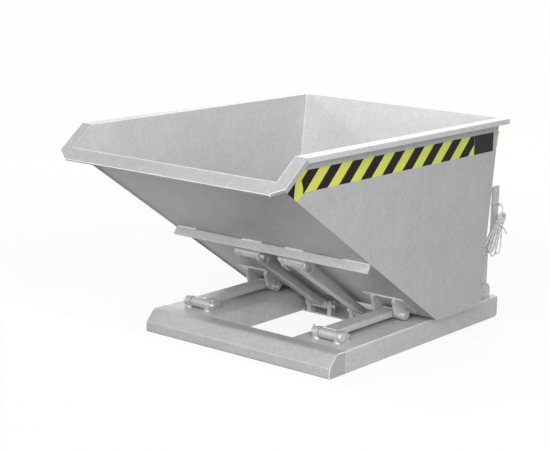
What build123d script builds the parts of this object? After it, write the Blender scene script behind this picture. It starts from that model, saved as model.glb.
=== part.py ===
from build123d import *

import os
from math import cos, hypot, radians, sin, tan

# Tipping hopper: a sheet-steel bucket on a crossed-link tipping frame with two fork pockets.
# Millimetres. +Z is up, -Y is the tipping side, +X is the side with the release lever.
# Profiles are drawn in the side view, where the first number runs backwards from the front
# of the base and the second runs up from the floor.

# Base frame
base_length = 1200.0
base_width = 930.0
base_height = 90.0
base_sheet = 5.0
base_bend = 9.0
beam_depth = 105.0
beam_face = 42.0
beam_slant = 44.0
beam_crest_bend = 24.0
rail_width = 265.0
rail_inner_bend = 2.0
rail_outer_bend = 10.0
rail_foot_radius = 14.0
sill_flange = 60.0
link_plate_sheet = 6.0
link_plate_lead = 18.0

# Pivots: one pin, one tube and one pair of lugs for every pivot of the linkage
pin_radius = 10.0
pin_clearance = 0.08
pin_head_radius = 19.5
pin_head = 8.0
pin_head_chamfer = 1.5
pin_tail = 16.0
pin_seat_gap = 0.3
tube_radius = 20.0
tube_length = 84.0
arm_tube_length = 70.0
tube_side_gap = 2.5
tube_chamfer = 1.6
lug_thickness = 25.0
lug_foot = 15.0
lug_heel = 42.0
lug_heel_reach = 57.0
lug_heel_height = 19.0
weld_gap = 0.2
washer_radius = 17.0
washer_thickness = 3.0
split_pin_radius = 2.2
split_pin_clearance = 0.2
split_pin_eye = 4.6
split_pin_reach = 15.0

# Front arms, lying flat on the rails at rest
arm_pivot_setback = 171.5
arm_pivot_height = 23.5
arm_length = 423.0
arm_spacing = 659.0
arm_bar_width = 68.0
arm_bar_height = 26.0
arm_bar_lift = 6.0
bar_wall = 4.0
bar_corner = 6.0

# Centre links, running up under the slope
link_pivot_behind_fold = 37.5
link_pivot_height = 39.0
link_spacing = 224.0
link_lug_thickness = 20.0
link_bar_width = 50.0
link_bar_height = 30.0
link_top_along = 505.0
link_top_depth = 40.0

# Bucket
bucket_width = 1000.0
sheet = 3.0
bucket_lift = 11.0
wall_overhang = 5.5
fold_behind_arm = 78.0
heel_setback = 212.5
slope_angle = 33.57
rear_lean = 6.29
rim_height = 877.0
rim_flange = 48.0
rim_downturn = 21.0
rim_bend = 4.5
rim_inner_bend = 2.6
mouth_overhang = 271.0
lip_tilt = 38.0
lip_width = 55.0
lip_side_length = 150.0
lip_downturn = 13.0
hem_height = 20.0
hem_thickness = 6.0
rest_strip_width = 40.0
rest_strip_gap = 0.5
rest_strip_inset = 14.0

# Stiffening bar across the slope, which lands on the front beam when the bucket is tipped
crossbar_along = 557.0
crossbar_depth = 40.0
crossbar_leg = 20.0
crossbar_sheet = 5.0
crossbar_bend = 8.0
crossbar_edge = 2.5
crossbar_end_gap = 7.0

# Brackets that hold the linkage to the slope
doubler_sheet = 6.0
doubler_width = 190.0
doubler_bottom = 18.0
doubler_top = 172.0
doubler_corner = 34.0
doubler_top_corner = 10.0
ear_thickness = 15.0
ear_radius = 20.5
ear_spread = 42.0
ear_reach = 92.0
ear_shoulder = 18.0
ear_nose = 41.0
ear_washer_radius = 21.5
ear_washer = 6.0
link_ear_thickness = 10.0
link_ear_margin = 5.5
link_ear_corner = 21.0
link_ear_nose = 6.0
link_web_sheet = 6.0
link_web_gap = 3.0
link_web_half = 74.0
link_web_low_half = 60.0
link_web_depth = 48.0
link_web_taper = 22.0
slot_travel = 45.0
slot_bow = 11.0
slot_drop = 1.5
slot_clearance = 1.0

# Warning tape and the bare plate on the walls
tape_drop = 56.0
tape_height = 78.0
tape_thickness = 0.4
plate_width = 145.0
plate_thickness = 0.8
plate_rear_gap = 28.0
tape_gap = 2.0
rear_tape_end_gap = 12.0

# Release lever, its bracket on the rail and the catch on the rear wall
lever_x = 424.0
lever_setback = 60.0
lever_pivot_height = 32.0
lever_width = 45.0
lever_thickness = 10.0
lever_bend_start = 175.0
lever_bend_rise = 70.0
lever_bend_radius = 30.0
lever_crank = 67.0
lever_length = 443.0
lever_corner = 11.0
lever_side_gap = 1.2
lever_ear_thickness = 8.0
lever_ear_width = 75.0
lever_ear_height = 62.0
lever_ear_corner = 36.0
bolt_radius = 8.0
cup_head_radius = 14.0
cup_head = 4.0
nut_radius = 14.0
nut_height = 9.0
lever_washer_radius = 16.0
hook_height = 139.0
hook_reach = 69.3
hook_depth = 24.0
hook_tilt = 8.0
catch_pin_radius = 8.0
catch_pin_gap = 4.7
catch_pin_drop = 20.0
catch_ear_thickness = 6.0
catch_ear_gap = 24.0
catch_ear_radius = 16.0
catch_ear_root = 52.0

# Rope tied round the lever, with the rest of it in a hank that hangs beside it
rope_radius = 3.2
hank_length = 205.0
hank_width = 46.0
hank_thickness = 40.0
hank_edge = 14.0
hank_turn = 61.0
hank_center = (1187.0, 360.0)
hank_side_gap = 0.3
rope_route = [
    (433.5, 1232.5, 474.0),
    (436.0, 1221.0, 490.0),
    (436.0, 1176.5, 493.0),
    (412.0, 1176.5, 492.0),
    (412.0, 1237.5, 486.0),
    (436.0, 1241.0, 482.0),
    (446.0, 1235.0, 468.0),
    (451.0, 1231.0, 453.8),
]
rope_arc_share = 0.45

# Places worked out from the sizes above
half_base = base_width / 2
rail_inner = half_base - rail_width
half_bucket = bucket_width / 2
half_inside = half_bucket - sheet
half_rim = half_bucket + rim_flange
arm_x = arm_spacing / 2
link_x = link_spacing / 2
bore_radius = pin_radius + pin_clearance
tube_seat = tube_length / 2 + tube_side_gap
arm_tube_seat = arm_tube_length / 2 + tube_side_gap

slope_direction = 180.0 - slope_angle
rear_direction = 90.0 - rear_lean
lip_direction = 180.0 + lip_tilt

arm_pivot = (arm_pivot_setback, base_height + arm_pivot_height)
bucket_pivot = (arm_pivot[0] + arm_length, arm_pivot[1])
fold = (bucket_pivot[0] + fold_behind_arm, base_height + bucket_lift)
heel = (base_length - heel_setback, fold[1])
link_pivot = (fold[0] + link_pivot_behind_fold, link_plate_sheet + link_pivot_height)
rim_front = (-mouth_overhang, rim_height)
lever_pivot = (base_length - lever_setback, base_height + lever_pivot_height)


def along(point, direction, distance):
    """The point a distance away in the side view, at an angle from the backward axis."""
    turn = radians(direction)
    return (point[0] + distance * cos(turn), point[1] + distance * sin(turn))


def aside(point, direction, distance):
    """The point a distance to the left of a line that runs in a direction."""
    return along(point, direction + 90.0, distance)


def meet(first, first_direction, second, second_direction):
    """Where two lines of the side view cross."""
    a = radians(first_direction)
    b = radians(second_direction)
    gap_y = second[0] - first[0]
    gap_z = second[1] - first[1]
    reach = (gap_y * sin(b) - gap_z * cos(b)) / sin(b - a)
    return along(first, first_direction, reach)


def level(height):
    """A point on a level line, for use with the direction 0."""
    return (0.0, height)


def slope_point(up, below):
    """A point up the slope from its fold and below the sheet's underside."""
    return aside(along(fold, slope_direction, up), slope_direction, below)


def on_slope(point):
    """How far up the slope and how far below its underside a point of the side view lies."""
    turn = radians(slope_direction)
    back = point[0] - fold[0]
    rise = point[1] - fold[1]
    return (back * cos(turn) + rise * sin(turn), rise * cos(turn) - back * sin(turn))


def rim_mitre(depth):
    """Where the rim turns down into the lip, at a depth under the flange."""
    return meet(level(rim_height - depth), 0.0, aside(rim_front, lip_direction, depth), lip_direction)


link_top = slope_point(link_top_along, link_top_depth)
lip_inner_edge = meet(slope_point(0.0, -sheet), slope_direction, rim_front, lip_direction)
lip_start = hypot(lip_inner_edge[0] - rim_front[0], lip_inner_edge[1] - rim_front[1])
lip_end = lip_start + lip_width
lip_front_edge = along(rim_front, lip_direction, lip_end)
lever_rear = lever_pivot[0] + lever_crank + lever_width / 2
front_y = -(lip_front_edge[0] + max(lever_rear, base_length)) / 2


def side_plane(x):
    """The side view at a distance from the middle."""
    return Plane(origin=(x, front_y, 0), x_dir=(0, 1, 0), z_dir=(1, 0, 0))


def slope_side(x):
    """A side view whose first axis runs up the slope and whose second runs away under it."""
    run = (0, cos(radians(slope_direction)), sin(radians(slope_direction)))
    return Plane(origin=(x, front_y + fold[0], fold[1]), x_dir=run, z_dir=(1, 0, 0))


def cross_plane(y):
    """A section across the base, with X first and Z second, facing the front."""
    return Plane(origin=(0, front_y + y, 0), x_dir=(1, 0, 0), z_dir=(0, -1, 0))


def bar_plane(x, start, end):
    """A section across a straight bar at its start, facing its end."""
    run = (0, end[0] - start[0], end[1] - start[1])
    return Plane(origin=(x, front_y + start[0], start[1]), x_dir=(1, 0, 0), z_dir=run)


slope_plane = Plane(
    origin=(0, front_y + fold[0], fold[1]),
    x_dir=(1, 0, 0),
    z_dir=(0, -sin(radians(slope_angle)), -cos(radians(slope_angle))),
)
lip_plane = Plane(
    origin=(0, front_y + rim_front[0], rim_front[1]),
    x_dir=(1, 0, 0),
    z_dir=(0, sin(radians(lip_tilt)), -cos(radians(lip_tilt))),
)


def beam_outline(rear):
    """Draws the closed outline of the front beam, from the nose to a rear edge."""
    FilletPolyline(
        (rear, 0),
        (0, 0),
        (0, beam_face),
        (beam_slant, base_height),
        (rear, base_height),
        radius=[base_bend, base_bend, beam_crest_bend],
    )
    Line((rear, base_height), (rear, 0))


# Front beam, folded from one sheet and open at the back, with a flat cap in each end
with BuildSketch() as beam_hollow:
    with BuildLine():
        beam_outline(beam_depth + base_sheet)
    make_face()
    offset(amount=-base_sheet)

with BuildPart() as front_beam:
    with BuildSketch(side_plane(-half_base)):
        with BuildLine():
            beam_outline(beam_depth)
        make_face()
        add(beam_hollow.sketch, mode=Mode.SUBTRACT)
    extrude(amount=base_width)

with BuildPart() as beam_end_caps:
    with BuildSketch(side_plane(half_base - base_sheet)):
        add(beam_hollow.sketch)
    extrude(amount=base_sheet)
    mirror(about=Plane.YZ)

# Web that closes the back of the beam between the two rails
with BuildPart() as beam_web:
    with BuildSketch(side_plane(-rail_inner)):
        with Locations((beam_depth - base_sheet, base_sheet)):
            Rectangle(base_sheet, base_height - 2 * base_sheet, align=(Align.MIN, Align.MIN))
    extrude(amount=2 * rail_inner)

# Fork rails: a folded channel, open below, whose floor plate closes the fork pocket
with BuildPart() as rail_right:
    with BuildSketch(cross_plane(beam_depth)) as rail_section:
        with BuildLine():
            FilletPolyline(
                (rail_inner, 0),
                (rail_inner, base_height),
                (half_base, base_height),
                (half_base, 0),
                radius=rail_outer_bend,
            )
            Line((half_base, 0), (rail_inner, 0))
        make_face()
        with BuildLine():
            FilletPolyline(
                (rail_inner + base_sheet, 0),
                (rail_inner + base_sheet, base_height - base_sheet),
                (half_base - base_sheet, base_height - base_sheet),
                (half_base - base_sheet, 0),
                radius=rail_inner_bend,
            )
            Line((half_base - base_sheet, 0), (rail_inner + base_sheet, 0))
        make_face(mode=Mode.SUBTRACT)
    extrude(amount=beam_depth - base_length)
    wall_feet = rail_right.edges().filter_by(Axis.X).group_by(Axis.Z)[0]
    fillet(wall_feet.group_by(Axis.Y)[-1], rail_foot_radius)

with BuildPart() as rail_left:
    mirror(rail_right.part, about=Plane.YZ)

with BuildPart() as pocket_floor_right:
    with BuildSketch(cross_plane(beam_depth)):
        with Locations((rail_inner + base_sheet, 0)):
            Rectangle(rail_width - 2 * base_sheet, base_sheet, align=(Align.MIN, Align.MIN))
    extrude(amount=beam_depth + rail_foot_radius - base_length)

with BuildPart() as pocket_floor_left:
    mirror(pocket_floor_right.part, about=Plane.YZ)

# Rear sill between the rails, folded as an angle
with BuildPart() as rear_sill:
    with BuildSketch(side_plane(-rail_inner)):
        with BuildLine():
            FilletPolyline(
                (base_length, 0),
                (base_length, base_height),
                (base_length - sill_flange, base_height),
                (base_length - sill_flange, base_height - base_sheet),
                (base_length - base_sheet, base_height - base_sheet),
                (base_length - base_sheet, 0),
                radius=[0, base_bend, 0, 0, base_bend - base_sheet, 0],
                close=True,
            )
        make_face()
    extrude(amount=2 * rail_inner)

# Floor plate between the rails that carries the lower ends of the centre links
with BuildPart() as link_plate:
    with BuildSketch(side_plane(-rail_inner)):
        plate_front = link_pivot[0] - link_plate_lead
        plate_back = base_length - base_sheet - weld_gap
        with Locations((plate_front, 0)):
            Rectangle(plate_back - plate_front, link_plate_sheet, align=(Align.MIN, Align.MIN))
    extrude(amount=2 * rail_inner)


# Pivot hardware, drawn on the right and mirrored to the left


def pivot_lugs(center_x, point, seat, foot_height, thickness, heel):
    """Four upright lugs that stand on the base, two beside each tube, with or without a heel."""
    planes = [side_plane(center_x + seat), side_plane(center_x - seat - thickness)]
    with BuildPart() as lugs:
        with BuildSketch(*planes):
            with Locations(point):
                Circle(tube_radius)
            with Locations((point[0], foot_height)):
                Rectangle(2 * lug_foot, point[1] - foot_height, align=(Align.CENTER, Align.MIN))
            if heel:
                with BuildLine():
                    Polyline(
                        (point[0], foot_height),
                        (point[0] + lug_heel, foot_height),
                        (point[0] + lug_heel_reach, foot_height + lug_heel_height),
                        (point[0] + lug_heel, point[1] + tube_radius / 2),
                        (point[0], point[1] + tube_radius),
                        close=True,
                    )
                make_face()
            with Locations(point):
                Circle(bore_radius, mode=Mode.SUBTRACT)
        extrude(amount=thickness)
        mirror(about=Plane.YZ)
    return lugs


def pivot_tubes(center_x, point, length):
    """Two tubes that turn on a pair of pivot pins."""
    with BuildPart() as tubes:
        with BuildSketch(side_plane(center_x - length / 2)):
            with Locations(point):
                Circle(tube_radius)
                Circle(bore_radius, mode=Mode.SUBTRACT)
        extrude(amount=length)
        ends = tubes.edges().filter_by(GeomType.CIRCLE)
        chamfer(ends.filter_by(lambda end: end.radius > bore_radius + tube_chamfer), tube_chamfer)
        mirror(about=Plane.YZ)
    return tubes


def pivot_pins(center_x, point, half_stack):
    """Two headed pins, with the head outside and a hole for a split pin inside."""
    tail_end = center_x - half_stack - pin_tail
    head_seat = center_x + half_stack + pin_seat_gap
    hole_x = center_x - half_stack - pin_seat_gap - washer_thickness - 2 * split_pin_radius
    with BuildPart() as pins:
        with BuildSketch(side_plane(tail_end)):
            with Locations(point):
                Circle(pin_radius)
        extrude(amount=head_seat - tail_end)
        with BuildSketch(side_plane(head_seat)):
            with Locations(point):
                Circle(pin_head_radius)
        extrude(amount=pin_head)
        ends = pins.edges().filter_by(GeomType.CIRCLE).sort_by(Axis.X)
        chamfer([ends[0], ends[-1]], pin_head_chamfer)
        with BuildSketch(Plane.XY.offset(point[1])):
            with Locations((hole_x, front_y + point[0])):
                Circle(split_pin_radius + split_pin_clearance)
        extrude(amount=pin_radius, both=True, mode=Mode.SUBTRACT)
        mirror(about=Plane.YZ)
    return pins


def pivot_washers(places):
    """Washers under the split pins of a list of pivots."""
    with BuildPart() as washers:
        for center_x, point, half_stack in places:
            with BuildSketch(side_plane(center_x - half_stack - pin_seat_gap - washer_thickness)):
                with Locations(point):
                    Circle(washer_radius)
                    Circle(bore_radius, mode=Mode.SUBTRACT)
            extrude(amount=washer_thickness)
        mirror(about=Plane.YZ)
    return washers


def split_pins(places):
    """Split pins for a list of pivots."""
    with BuildPart() as pins:
        for center_x, point, half_stack in places:
            hole_x = center_x - half_stack - pin_seat_gap - washer_thickness - 2 * split_pin_radius
            with BuildSketch(Plane.XY.offset(point[1] - split_pin_reach)):
                with Locations((hole_x, front_y + point[0])):
                    Circle(split_pin_radius)
            extrude(amount=2 * split_pin_reach)
            with Locations((hole_x, front_y + point[0], point[1] + split_pin_reach + split_pin_eye)):
                Torus(split_pin_eye, split_pin_radius, rotation=(0, 90, 0))
        mirror(about=Plane.YZ)
    return pins


arm_stack = arm_tube_seat + lug_thickness
link_stack = tube_seat + link_lug_thickness
ear_stack = tube_seat + ear_thickness + ear_washer
link_ear_stack = tube_seat + link_ear_thickness + tube_side_gap

arm_lugs = pivot_lugs(arm_x, arm_pivot, arm_tube_seat, base_height, lug_thickness, True)
arm_base_pins = pivot_pins(arm_x, arm_pivot, arm_stack)
link_lugs = pivot_lugs(link_x, link_pivot, tube_seat, link_plate_sheet, link_lug_thickness, False)
link_base_pins = pivot_pins(link_x, link_pivot, link_stack)
base_pivots = [(arm_x, arm_pivot, arm_stack), (link_x, link_pivot, link_stack)]
base_washers = pivot_washers(base_pivots)
base_split_pins = split_pins(base_pivots)

# Front arms: a box-section bar coped onto a tube at each end, nearly level with its top
arm_front_tubes = pivot_tubes(arm_x, arm_pivot, arm_tube_length)
arm_rear_tubes = pivot_tubes(arm_x, bucket_pivot, tube_length)


def coped_bar(center_x, start, end, width, height, lift):
    """A box-section bar between two pivot tubes, lifted off their axis and cut to their curve."""
    span = hypot(end[0] - start[0], end[1] - start[1])
    with BuildPart() as bar:
        with BuildSketch(bar_plane(center_x, (start[0], start[1] + lift), (end[0], end[1] + lift))):
            RectangleRounded(width, height, bar_corner)
            inside = (width - 2 * bar_wall, height - 2 * bar_wall)
            RectangleRounded(*inside, bar_corner - bar_wall, mode=Mode.SUBTRACT)
        extrude(amount=span)
        with BuildSketch(side_plane(center_x - width / 2)):
            with Locations(start, end):
                Circle(tube_radius + weld_gap)
        extrude(amount=width, mode=Mode.SUBTRACT)
    return bar


arm_bar_right = coped_bar(arm_x, arm_pivot, bucket_pivot, arm_bar_width, arm_bar_height, arm_bar_lift)

with BuildPart() as arm_bar_left:
    mirror(arm_bar_right.part, about=Plane.YZ)

# Centre links, made in the same way and pinned into slotted ears at the top
link_bar_right = coped_bar(link_x, link_pivot, link_top, link_bar_width, link_bar_height, 0.0)
link_lower_tubes = pivot_tubes(link_x, link_pivot, tube_length)
link_upper_tubes = pivot_tubes(link_x, link_top, tube_length)
link_top_pins = pivot_pins(link_x, link_top, link_ear_stack)
link_top_washers = pivot_washers([(link_x, link_top, link_ear_stack)])
link_split_pins = split_pins([(link_x, link_top, link_ear_stack)])

with BuildPart() as link_bar_left:
    mirror(link_bar_right.part, about=Plane.YZ)

# Bucket sheets, mitred where they meet
lip_under = aside(rim_front, lip_direction, sheet)
rear_inside = aside(heel, rear_direction, sheet)
inner_fold = meet(slope_point(0.0, -sheet), slope_direction, level(fold[1] + sheet), 0.0)
inner_heel = meet(level(fold[1] + sheet), 0.0, rear_inside, rear_direction)
rear_top = meet(heel, rear_direction, level(rim_height), 0.0)
slope_edge = slope_point(0.0, wall_overhang)
bottom_edge = level(fold[1] - wall_overhang)
rear_edge = aside(heel, rear_direction, -wall_overhang)

with BuildPart() as slope_sheet:
    with BuildSketch(side_plane(-half_inside)):
        with BuildLine():
            Polyline(
                fold,
                meet(fold, slope_direction, lip_under, lip_direction),
                meet(inner_fold, slope_direction, lip_under, lip_direction),
                inner_fold,
                close=True,
            )
        make_face()
    extrude(amount=2 * half_inside)

with BuildPart() as bottom_sheet:
    with BuildSketch(side_plane(-half_inside)):
        with BuildLine():
            Polyline(fold, heel, inner_heel, inner_fold, close=True)
        make_face()
    extrude(amount=2 * half_inside)

with BuildPart() as rear_wall:
    with BuildSketch(side_plane(-half_inside)):
        with BuildLine():
            inner_top = meet(inner_heel, rear_direction, level(rim_height), 0.0)
            Polyline(heel, rear_top, inner_top, inner_heel, close=True)
        make_face()
    extrude(amount=2 * half_inside)

# Folded hem along the top of the rear wall
with BuildPart() as rear_hem:
    with BuildSketch(side_plane(-half_inside)):
        with BuildLine():
            hem_low = meet(heel, rear_direction, level(rim_height - hem_height), 0.0)
            FilletPolyline(
                rear_top,
                hem_low,
                (hem_low[0] + hem_thickness, hem_low[1]),
                (rear_top[0] + hem_thickness, rear_top[1]),
                radius=[0, 0, hem_thickness / 3, hem_thickness / 3],
                close=True,
            )
        make_face()
    extrude(amount=2 * half_inside)


def wall_outline():
    """Draws the side view of a side wall, whose edges stand out past the other sheets."""
    Polyline(
        meet(slope_edge, slope_direction, bottom_edge, 0.0),
        meet(bottom_edge, 0.0, rear_edge, rear_direction),
        meet(rear_edge, rear_direction, level(rim_height - sheet), 0.0),
        rim_mitre(sheet),
        meet(lip_under, lip_direction, slope_edge, slope_direction),
        close=True,
    )


with BuildPart() as side_wall_right:
    with BuildSketch(side_plane(half_inside)):
        with BuildLine():
            wall_outline()
        make_face()
    extrude(amount=sheet)

with BuildPart() as side_wall_left:
    mirror(side_wall_right.part, about=Plane.YZ)

# Side rims: a flange with a downturned edge, mitred to the tilted lip at the front
rim_rear = meet(rear_edge, rear_direction, level(rim_height), 0.0)


def rim_strip(depth):
    """Draws the side view of the rim down to a depth, with its mitred front end."""
    Polyline(
        rim_front,
        rim_rear,
        (rim_rear[0], rim_height - depth),
        rim_mitre(depth),
        close=True,
    )


with BuildPart() as rim_right:
    with BuildSketch(side_plane(half_inside)):
        with BuildLine():
            rim_strip(sheet)
        make_face()
    extrude(amount=half_rim - half_inside)
    with BuildSketch(side_plane(half_rim - sheet)):
        with BuildLine():
            rim_strip(rim_downturn)
        make_face()
    extrude(amount=sheet)
    top_edges = rim_right.edges().filter_by(Axis.Y).group_by(Axis.Z)[-1].sort_by(Axis.X)
    fillet(top_edges[-1], rim_bend)
    top_edges = rim_right.edges().filter_by(Axis.Y).group_by(Axis.Z)[-1].sort_by(Axis.X)
    fillet(top_edges[0], rim_inner_bend)

with BuildPart() as rim_left:
    mirror(rim_right.part, about=Plane.YZ)


# Lip: the tilted flange round the pouring edge, with a cut corner at each end


def lip_strip(start, end, depth):
    """Draws the side view of a strip of the lip between two places down its tilt."""
    under = aside(rim_front, lip_direction, depth)
    Polyline(
        along(rim_front, lip_direction, start),
        along(under, lip_direction, start),
        along(under, lip_direction, end),
        along(rim_front, lip_direction, end),
        close=True,
    )


def mitred_lip_strip(end, depth):
    """Draws the side view of a strip of the lip that starts at the rim's mitre."""
    Polyline(
        rim_front,
        rim_mitre(depth),
        along(aside(rim_front, lip_direction, depth), lip_direction, end),
        along(rim_front, lip_direction, end),
        close=True,
    )


corner_in = (half_inside, lip_end)
corner_out = (half_rim, lip_side_length)
corner_run = hypot(half_rim - half_inside, lip_end - lip_side_length)
corner_inset = (
    sheet * (lip_end - lip_side_length) / corner_run,
    sheet * (half_rim - half_inside) / corner_run,
)

with BuildPart() as lip_side_right:
    with BuildSketch(side_plane(half_inside)):
        with BuildLine():
            mitred_lip_strip(lip_end, sheet)
        make_face()
    extrude(amount=half_rim - half_inside)
    with BuildSketch(side_plane(half_rim - sheet)):
        with BuildLine():
            mitred_lip_strip(lip_end, rim_downturn)
        make_face()
    extrude(amount=sheet)
    with BuildSketch(lip_plane):
        with BuildLine():
            Polyline(
                corner_in,
                corner_out,
                (half_rim + rim_flange, lip_side_length),
                (half_rim + rim_flange, lip_end + rim_flange),
                (half_inside, lip_end + rim_flange),
                close=True,
            )
        make_face()
    extrude(amount=2 * rim_downturn, both=True, mode=Mode.SUBTRACT)
    with BuildSketch(lip_plane):
        with BuildLine():
            Polyline(
                corner_in,
                corner_out,
                (corner_out[0] - corner_inset[0], corner_out[1] - corner_inset[1]),
                (half_inside, corner_in[1] - sheet),
                close=True,
            )
        make_face()
    extrude(amount=lip_downturn)

with BuildPart() as lip_side_left:
    mirror(lip_side_right.part, about=Plane.YZ)

with BuildPart() as lip_front:
    with BuildSketch(side_plane(-half_inside)):
        with BuildLine():
            lip_strip(lip_start, lip_end, sheet)
        make_face()
        with BuildLine():
            lip_strip(lip_end - sheet, lip_end, lip_downturn)
        make_face()
    extrude(amount=2 * half_inside)
    fillet(lip_front.edges().filter_by(Axis.X).sort_by(Axis.Y)[0], rim_bend)

# Flat strips under the bottom on which the bucket rests on the rails
strip_depth = bucket_lift - rest_strip_gap
strip_start = fold[0] + rest_strip_inset
strip_end = heel[0] - rest_strip_inset
with BuildPart() as rest_strips:
    with BuildSketch(side_plane(arm_x - rest_strip_width / 2)):
        with Locations((strip_start, fold[1] - strip_depth)):
            Rectangle(strip_end - strip_start, strip_depth, align=(Align.MIN, Align.MIN))
    extrude(amount=rest_strip_width)
    mirror(about=Plane.YZ)

# Stiffening bar, a bent angle welded across the slope
half_crossbar = half_inside - crossbar_end_gap
with BuildPart() as crossbar:
    with BuildSketch(slope_side(-half_crossbar)):
        with BuildLine():
            FilletPolyline(
                (crossbar_along, 0),
                (crossbar_along, crossbar_depth),
                (crossbar_along - crossbar_sheet, crossbar_depth),
                (crossbar_along - crossbar_sheet, crossbar_sheet),
                (crossbar_along - crossbar_leg, crossbar_sheet),
                (crossbar_along - crossbar_leg, 0),
                radius=[crossbar_bend, crossbar_edge, 0, crossbar_bend - crossbar_sheet, 0, 0],
                close=True,
            )
        make_face()
    extrude(amount=2 * half_crossbar)

# Doubler plates and ears that hold the rear ends of the arms
doubler_in = arm_x - doubler_width / 2
doubler_out = arm_x + doubler_width / 2
with BuildPart() as arm_doublers:
    with BuildSketch(slope_plane):
        with BuildLine():
            FilletPolyline(
                (doubler_in, doubler_bottom),
                (doubler_out, doubler_bottom),
                (doubler_out, doubler_top),
                (doubler_in, doubler_top),
                radius=[doubler_top_corner, doubler_corner, doubler_top_corner, doubler_top_corner],
                close=True,
            )
        make_face()
    extrude(amount=doubler_sheet)
    mirror(about=Plane.YZ)

pivot_up, pivot_depth = on_slope(bucket_pivot)
ear_planes = [slope_side(arm_x + tube_seat), slope_side(arm_x - tube_seat - ear_thickness)]
with BuildPart() as arm_ears:
    with BuildSketch(*ear_planes):
        with BuildLine():
            Polyline(
                (pivot_up - ear_spread, doubler_sheet),
                (pivot_up + ear_reach, doubler_sheet),
                (pivot_up + ear_reach, ear_shoulder),
                (pivot_up + ear_nose, pivot_depth + ear_radius),
                (pivot_up, pivot_depth + ear_radius),
                (pivot_up - ear_radius, pivot_depth),
                close=True,
            )
        make_face()
        with Locations((pivot_up, pivot_depth)):
            Circle(ear_radius)
            Circle(bore_radius, mode=Mode.SUBTRACT)
    extrude(amount=ear_thickness)
    mirror(about=Plane.YZ)

# Thick washers outside the ears, under the pin heads and the split pins
washer_planes = [
    side_plane(arm_x + tube_seat + ear_thickness),
    side_plane(arm_x - tube_seat - ear_thickness - ear_washer),
]
with BuildPart() as ear_washers:
    with BuildSketch(*washer_planes):
        with Locations(bucket_pivot):
            Circle(ear_washer_radius)
            Circle(bore_radius, mode=Mode.SUBTRACT)
    extrude(amount=ear_washer)
    mirror(about=Plane.YZ)

bucket_pins = pivot_pins(arm_x, bucket_pivot, ear_stack)
bucket_washers = pivot_washers([(arm_x, bucket_pivot, ear_stack)])
bucket_split_pins = split_pins([(arm_x, bucket_pivot, ear_stack)])

# Ears under the slope with a slot in which the upper link pins travel
slot_half = pin_radius + slot_bow / 2 + slot_clearance
slot_run = slot_travel - slot_bow
slot_middle = (link_top_along - slot_travel / 2, link_top_depth + slot_drop)
ear_low = slot_middle[1] + slot_half + link_ear_margin
ear_back = slot_middle[0] - slot_run / 2 - slot_half - link_ear_margin
web_back = link_top_along + tube_radius + link_web_gap
web_front = web_back + link_web_sheet
link_ear_planes = [slope_side(link_x + tube_seat), slope_side(link_x - tube_seat - link_ear_thickness)]
with BuildPart() as link_ears:
    with BuildSketch(*link_ear_planes):
        with BuildLine():
            FilletPolyline(
                (ear_back, 0),
                (ear_back, ear_low),
                (link_top_along, ear_low),
                (web_front, link_web_depth - link_ear_nose),
                (web_front, 0),
                radius=[link_ear_corner, link_ear_nose, link_ear_nose],
            )
            Line((web_front, 0), (ear_back, 0))
        make_face()
        with Locations(slot_middle):
            SlotCenterToCenter(slot_run, 2 * slot_half, mode=Mode.SUBTRACT)
    extrude(amount=link_ear_thickness)
    web_plane = Plane(
        origin=slope_side(0.0).from_local_coords((web_back, 0, 0)),
        x_dir=(1, 0, 0),
        z_dir=slope_side(0.0).x_dir,
    )
    web_down = -1 if web_plane.y_dir.dot(slope_side(0.0).y_dir) < 0 else 1
    with BuildSketch(web_plane):
        with BuildLine():
            Polyline(
                (link_x - link_web_half, 0),
                (link_x + link_web_half, 0),
                (link_x + link_web_half, web_down * (link_web_depth - link_web_taper)),
                (link_x + link_web_low_half, web_down * link_web_depth),
                (link_x - link_web_low_half, web_down * link_web_depth),
                (link_x - link_web_half, web_down * (link_web_depth - link_web_taper)),
                close=True,
            )
        make_face()
    extrude(amount=link_web_sheet)
    mirror(about=Plane.YZ)

# Warning tape that follows the rim, and the bare plate behind it
tape_low = tape_drop + tape_height
plate_rear = meet(rear_edge, rear_direction, level(rim_height - tape_low), 0.0)[0] - plate_rear_gap
plate_front = plate_rear - plate_width

with BuildPart() as side_tapes:
    with BuildSketch(side_plane(half_bucket)):
        with BuildLine():
            Polyline(
                rim_mitre(tape_drop),
                rim_mitre(tape_low),
                (plate_front - tape_gap, rim_height - tape_low),
                (plate_front - tape_gap, rim_height - tape_drop),
                close=True,
            )
        make_face()
        with BuildLine():
            wall_outline()
        make_face(mode=Mode.INTERSECT)
    extrude(amount=tape_thickness)
    mirror(about=Plane.YZ)

with BuildPart() as front_tapes:
    with BuildSketch(side_plane(half_bucket)):
        with BuildLine():
            Polyline(
                rim_mitre(tape_drop),
                along(rim_mitre(tape_drop), lip_direction, lip_end),
                along(rim_mitre(tape_low), lip_direction, lip_end),
                rim_mitre(tape_low),
                close=True,
            )
        make_face()
        with BuildLine():
            wall_outline()
        make_face(mode=Mode.INTERSECT)
    extrude(amount=tape_thickness)
    mirror(about=Plane.YZ)

with BuildPart() as data_plates:
    with BuildSketch(side_plane(half_bucket)):
        with Locations((plate_front, rim_height - tape_low)):
            Rectangle(plate_width, tape_height, align=(Align.MIN, Align.MIN))
    extrude(amount=plate_thickness)
    mirror(about=Plane.YZ)

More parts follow.
